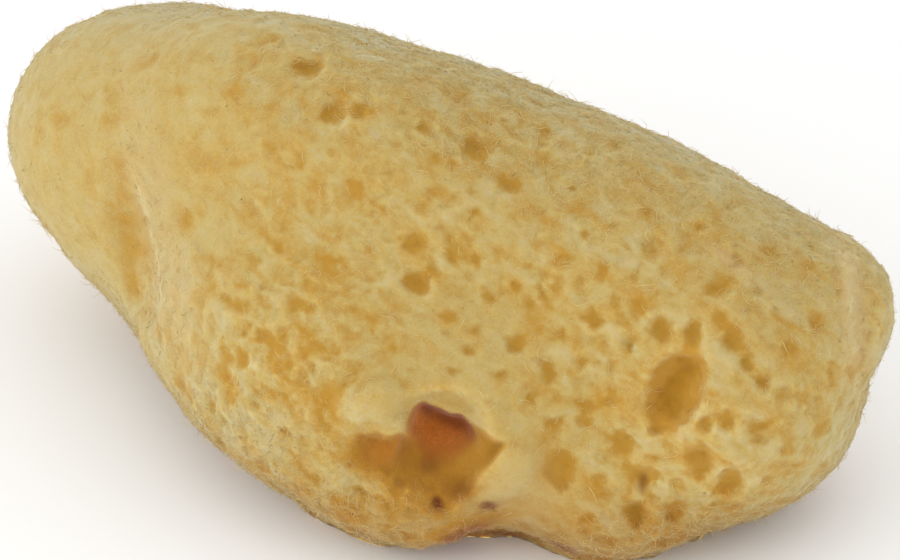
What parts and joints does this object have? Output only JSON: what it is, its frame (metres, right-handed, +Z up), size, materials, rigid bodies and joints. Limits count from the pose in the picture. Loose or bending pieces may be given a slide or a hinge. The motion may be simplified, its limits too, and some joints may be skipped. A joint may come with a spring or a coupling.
{
  "type": "sea sponge",
  "caption": "Natural bath sponge: a soft, rounded, elongated lump of porous fibre with pits and a deep cave in one side, cut flat underneath to rest on.",
  "frame": {"origin": "on the flat cut that the sponge rests on, under the middle of its length and depth", "axes": "+Z up from the flat cut; +X along the sponge's length, towards its lower end; the side with the cave faces -Y"},
  "size_m": [0.112, 0.0576, 0.048],
  "materials": {
    "spongin": "matte, fibrous and porous, pale cream on the ridges and amber in the pits"
  },
  "bodies": {
    "root": {"sponge": "spongin"}
  },
  "joints": []
}
